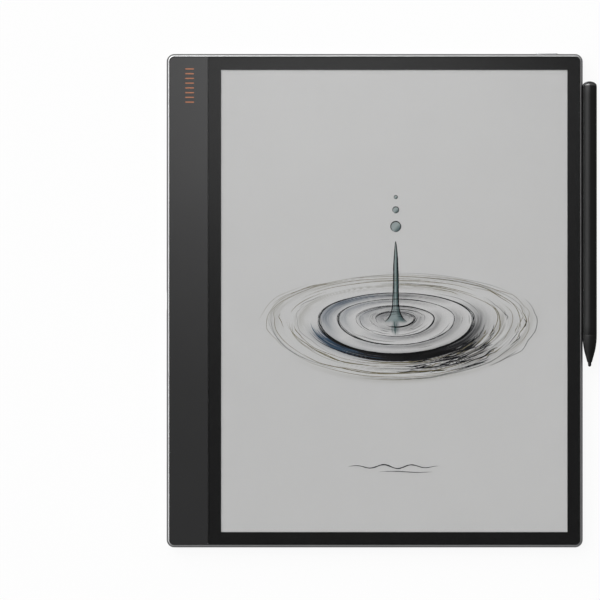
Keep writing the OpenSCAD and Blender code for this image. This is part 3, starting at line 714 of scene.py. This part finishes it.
half = jet_half(Y)
u = (X - CX) / np.maximum(half, 0.05)
column = (1 - smooth(np.abs(u), 0.8, 1.1)) * (Y < JET_TOP) * smooth(Y, CY - 2.4, CY - 0.6)
lay(column * 0.75, (0.2, 0.27, 0.27))
lay(column * smooth(u, -0.1, 0.8) * 0.85, (0.04, 0.085, 0.09))
for y0, r in DROPS:
    d = np.hypot(X - CX, Y - y0) / r
    bead = 1 - smooth(d, 0.9, 1.12)
    lay(bead * 0.7, (0.18, 0.25, 0.25))
    lay(bead * smooth((X - CX - Y + y0) / r, -0.2, 1.3) * 0.9, (0.035, 0.075, 0.08))

rows, cols = X.shape
grid_faces = [(r * cols + c, r * cols + c + 1, (r + 1) * cols + c + 1, (r + 1) * cols + c)
              for r in range(rows - 1) for c in range(cols - 1)]
image = bpy.data.meshes.new("screen_image")
image.from_pydata(np.c_[X.ravel(), Y.ravel(), np.full(X.size, PANEL_TOP + 0.03)] * MM, [], grid_faces)
image.update()
col = image.color_attributes.new("tone", "FLOAT_COLOR", "POINT")
col.data.foreach_set("color", np.c_[tone.reshape(-1, 3), np.ones(X.size)].astype(np.float32).ravel())
M["screen_image"] = epaper_surface("screen_image", "tone")
add("screen_image", image, "screen_image")

# Pen lines as thin tapered ribbons, one piece for each ink.
INKS = {"olive": (0.17, 0.15, 0.085), "grey": (0.2, 0.205, 0.2), "blue": (0.035, 0.075, 0.13),
        "teal": (0.05, 0.11, 0.11), "dark": (0.014, 0.015, 0.018)}
lines = {ink: [[], []] for ink in INKS}


def wander(n, amount, bends):
    """Smooth random drift of n values."""
    k = rng.normal(size=max(bends, 2) + 1) * amount
    return np.interp(np.linspace(0, len(k) - 1, n), np.arange(len(k)), k)


def stroke(ink, pts, width, taper=0.7, rough=0.12):
    """A tapered line through pts. width is one value or one for each point."""
    pts = np.asarray(pts, float)
    n = len(pts)
    tang = np.gradient(pts, axis=0)
    tang /= np.maximum(np.linalg.norm(tang, axis=1), 1e-9)[:, None]
    across = np.c_[-tang[:, 1], tang[:, 0]]
    t = np.linspace(0.001, 0.999, n)
    w = np.asarray(width) / 2 * np.sin(math.pi * t) ** taper * (1 + rough * rng.normal(size=n))
    w = np.maximum(w, 0.012)[:, None]
    verts, faces = lines[ink]
    k = len(verts)
    # Each ink lies just over the one before it.
    z = PANEL_TOP + 0.05 + 0.01 * list(INKS).index(ink)
    for a, b in zip(pts + across * w, pts - across * w):
        verts.append((a[0], a[1], z))
        verts.append((b[0], b[1], z))
    faces += [(k + 2 * i, k + 2 * i + 1, k + 2 * i + 3, k + 2 * i + 2) for i in range(n - 1)]


def ring_line(ink, rho, start, sweep, width, drift=0.25):
    """A line along a ring, thicker towards the lower right."""
    n = max(8, int(abs(sweep) * rho / 1.0))
    a = np.linspace(start, start + sweep, n)
    r = rho + wander(n, drift, max(3, n // 10))
    k = np.where(np.sin(a) < 0, NEAR, FAR)
    weight = 0.45 + 0.55 * (0.5 + 0.5 * np.cos(a - LOW))
    stroke(ink, np.c_[CX + r * np.cos(a), CY + k * r * np.sin(a)], width * weight)


# Lines of the four inner rings.
for c, _, a in CRESTS[:4]:
    for i in range(int(6 + 9 * a)):
        ring_line("dark", c + rng.normal() * 0.3, rng.uniform(0, TAU), rng.uniform(1.0, 3.2),
                  rng.uniform(0.2, 0.45))
# Heavy near side of the main ring, blue to black.
for i in range(5):
    ring_line("dark", 35.0 + 0.25 * i, math.pi * 1.02, math.pi * 0.96, 0.75)
for i in range(9):
    ring_line("blue", 36.0 + 0.55 * i, math.pi * rng.uniform(1.03, 1.12),
              math.pi * rng.uniform(0.25, 0.5), 0.6)
for i in range(12):
    ring_line("dark", 35.5 + 0.5 * i, math.pi * rng.uniform(1.25, 1.5),
              math.pi * rng.uniform(0.3, 0.5), 0.55)
ring_line("dark", 41.6, math.pi * 1.1, math.pi * 0.82, 0.75)
# Loose fine lines between the rings and in the pool.
for i in range(26):
    ring_line("grey", rng.uniform(10, 34), rng.uniform(0, TAU), rng.uniform(0.2, 0.9),
              rng.uniform(0.15, 0.28))
for i in range(22):
    ring_line("dark", rng.uniform(3, 16), rng.uniform(0.1, math.pi), rng.uniform(0.4, 1.4),
              rng.uniform(0.15, 0.3))
# Broken outer rings.
for i in range(60):
    c = rng.choice([46.5, 58.0]) + rng.normal() * 2.6
    ring_line(rng.choice(["olive", "olive", "grey"]), c, rng.uniform(0, TAU), rng.uniform(0.3, 1.5),
              rng.uniform(0.2, 0.5), 0.5)
# Dry brush at the lower right.
for i in range(55):
    ring_line(rng.choice(["dark", "dark", "olive"]), rng.uniform(40, 60), LOW + rng.normal() * 0.32,
              rng.uniform(0.1, 0.38), rng.uniform(0.2, 0.5), 0.6)
for i in range(30):
    ring_line("dark", rng.uniform(39, 52), LOW - 0.15 + rng.normal() * 0.22, rng.uniform(0.15, 0.4),
              rng.uniform(0.3, 0.6), 0.5)

# Outlines and tones of the column, the drops and the reflection.
yy = np.linspace(CY - 1.4, JET_TOP, 46)
for k, w in ((-1.0, 0.5), (-0.9, 0.25), (1.0, 0.6), (0.88, 0.4)):
    stroke("dark", np.c_[CX + k * jet_half(yy) + wander(46, 0.05, 7), yy], w, 0.3)
for k in (0.6, 0.35, -0.45):
    stroke("teal", np.c_[CX + k * jet_half(yy[4:-6]), yy[4:-6]], 0.25)
for y0, r in DROPS:
    for i in range(3):
        a = np.linspace(0, TAU * rng.uniform(0.7, 1.0), 26) + rng.uniform(-2.4, -0.6)
        rr = r * (1 + wander(26, 0.03, 4))
        stroke("dark", np.c_[CX + rr * np.cos(a), y0 + rr * np.sin(a)], 0.16 + 0.09 * r, 0.3)
for i in range(5):
    y0 = rng.uniform(CY - 8, CY - 4)
    yl = np.linspace(y0, y0 + rng.uniform(2.5, 5), 8)
    stroke("teal", np.c_[CX + rng.normal() * 0.9 + wander(8, 0.1, 3), yl], 0.3)

# Plain tapered flourish under the drawing.
tt = np.linspace(0, 1, 60)
swell = 0.3 + 0.7 * np.sin(math.pi * tt)
stroke("dark", np.c_[-12 + 41 * tt, -75.2 + 0.9 * np.sin(tt * 3.2 * TAU) * swell], 0.5, 0.5)
stroke("dark", np.c_[2 + 24 * tt, -77.6 + 0.25 * np.sin(tt * TAU)], 0.3, 0.6)

for ink, (verts, faces) in lines.items():
    M["ink_" + ink] = epaper_surface("ink_" + ink, colour=INKS[ink])
    mesh = bpy.data.meshes.new("ink_" + ink)
    mesh.from_pydata([tuple(v) for v in np.array(verts) * MM], [], faces)
    mesh.update()
    add("ink_" + ink, mesh, "ink_" + ink)

# ---------------------------------------------------------------- stage, lights, camera


def nodes_math(nt, op, a, b):
    """Output of a Math node. a and b are numbers or sockets."""
    n = nt.nodes.new("ShaderNodeMath")
    n.operation = op
    for i, v in enumerate((a, b)):
        if isinstance(v, (int, float)):
            n.inputs[i].default_value = v
        else:
            nt.links.new(v, n.inputs[i])
    return n.outputs[0]


# The floor has a hole under the tablet, and is clear from below, so that the back can be seen and lit.
FLOOR_R, FLOOR_Z, ROOM = 4000.0, -0.05, 0.3
hole = outline(LEFT - ROOM, BOTTOM - ROOM, RIGHT + ROOM, TOP_BODY + ROOM, (CORNER_R + ROOM,) * 4)
floor_verts = [(sx * FLOOR_R, sy * FLOOR_R) for sx, sy in ((1, 1), (-1, 1), (-1, -1), (1, -1))] + list(hole)
# One face for each side, between the middles of the hole's rounded corners.
n = len(hole)
middle = n // 8
floor_faces = []
for i in range(4):
    start, end = i * n // 4 + middle, (i + 1) * n // 4 + middle
    floor_faces.append((i, (i + 1) % 4, *(4 + k % n for k in range(end, start - 1, -1))))
floor = bpy.data.meshes.new("floor")
floor.from_pydata([(x * MM, y * MM, FLOOR_Z * MM) for x, y in floor_verts], [], floor_faces)
floor_ob = bpy.data.objects.new("floor", floor)
bpy.context.scene.collection.objects.link(floor_ob)
floor_mat, nt, b = new_material("floor_paper")
b.inputs["Roughness"].default_value = 0.9
b.inputs["Specular IOR Level"].default_value = 0.0
path = nt.nodes.new("ShaderNodeLightPath")
b.inputs["Emission Color"].default_value = (1, 1, 1, 1)
nt.links.new(tinted(nt, path.outputs["Is Camera Ray"], (0.2,) * 3, (0.08,) * 3), b.inputs["Base Color"])
nt.links.new(nodes_math(nt, "MULTIPLY", path.outputs["Is Camera Ray"], 0.915), b.inputs["Emission Strength"])
geo = nt.nodes.new("ShaderNodeNewGeometry")
nt.links.new(nodes_math(nt, "SUBTRACT", 1.0, geo.outputs["Backfacing"]), b.inputs["Alpha"])
floor.materials.append(floor_mat)


def lamp(name, kind, pos, target, energy, size=None, angle=None):
    """A light at pos that faces target. size is for an area light, angle for a sun."""
    data = bpy.data.lights.new(name, kind)
    data.energy = energy
    if kind == "AREA":
        data.shape = "RECTANGLE"
        data.size, data.size_y = size
    else:
        data.angle = angle
    ob = bpy.data.objects.new(name, data)
    bpy.context.scene.collection.objects.link(ob)
    ob.location = pos
    ob.rotation_mode = "QUATERNION"
    ob.rotation_quaternion = (Vector(target) - Vector(pos)).to_track_quat("-Z", "Y")
    ob.visible_camera = False
    return ob


# Broad key from the upper left, a card mirrored in the top of the glass, and a glint for the pen's end cap.
lamp("key", "SUN", (-1.0, 1.0, 1.2), (0, 0, 0), 2.25, angle=math.radians(66))
lamp("card", "AREA", (-0.034, 0.32, 1.42), (-0.02, 0.03, 0), 0.82, size=(0.287, 0.513))
lamp("glint", "AREA", (-0.12, 0.66, 0.24), (0.0977, 0.099, 0.006), 0.3, size=(0.12, 0.05))

world = bpy.data.worlds.new("studio")
bpy.context.scene.world = world
world.use_nodes = True
nt = world.node_tree
nt.nodes.clear()
out = nt.nodes.new("ShaderNodeOutputWorld")
bg = nt.nodes.new("ShaderNodeBackground")
tc = nt.nodes.new("ShaderNodeTexCoord")
sep = nt.nodes.new("ShaderNodeSeparateXYZ")
nt.links.new(tc.outputs["Generated"], sep.inputs[0])
# Brighter towards the upper left and from below, dark straight above, and plain white to the camera.
# These are strengths on the Background node's own light grey.
level = nodes_math(nt, "ADD", 0.6, nodes_math(nt, "MULTIPLY", sep.outputs["X"], -0.36))
level = nodes_math(nt, "ADD", level, nodes_math(nt, "MULTIPLY", sep.outputs["Y"], 0.32))
zenith = nt.nodes.new("ShaderNodeMapRange")
zenith.interpolation_type = "SMOOTHSTEP"
zenith.inputs["From Min"].default_value = 0.78
zenith.inputs["From Max"].default_value = 0.97
zenith.inputs["To Min"].default_value = 1.0
zenith.inputs["To Max"].default_value = 0.15
nt.links.new(sep.outputs["Z"], zenith.inputs["Value"])
level = nodes_math(nt, "MULTIPLY", level, zenith.outputs["Result"])
level = nodes_math(nt, "MULTIPLY", level, spread(nt, sep.outputs["Z"], 1.5, 1.0, -0.2, 0.0))
path = nt.nodes.new("ShaderNodeLightPath")
mix = nt.nodes.new("ShaderNodeMix")
nt.links.new(path.outputs["Is Camera Ray"], mix.inputs["Factor"])
nt.links.new(level, mix.inputs["A"])
mix.inputs["B"].default_value = 1.225
nt.links.new(mix.outputs["Result"], bg.inputs["Strength"])
nt.links.new(bg.outputs[0], out.inputs["Surface"])

bpy.context.scene.view_settings.view_transform = "Standard"
bpy.context.scene.view_settings.look = "None"

cam_data = bpy.data.cameras.new("camera")
cam = bpy.data.objects.new("camera", cam_data)
bpy.context.scene.collection.objects.link(cam)
# Straight down, with the picture WIDTH across at the level of the glass.
HEIGHT, WIDTH = 2.2, 0.27204
cam.location = (-0.03391, 0.00033, HEIGHT)
cam_data.sensor_width = 36.0
cam_data.lens = 36.0 * (HEIGHT - BODY_T * MM) / WIDTH
cam_data.clip_start, cam_data.clip_end = 0.05, 20.0
bpy.context.scene.camera = cam
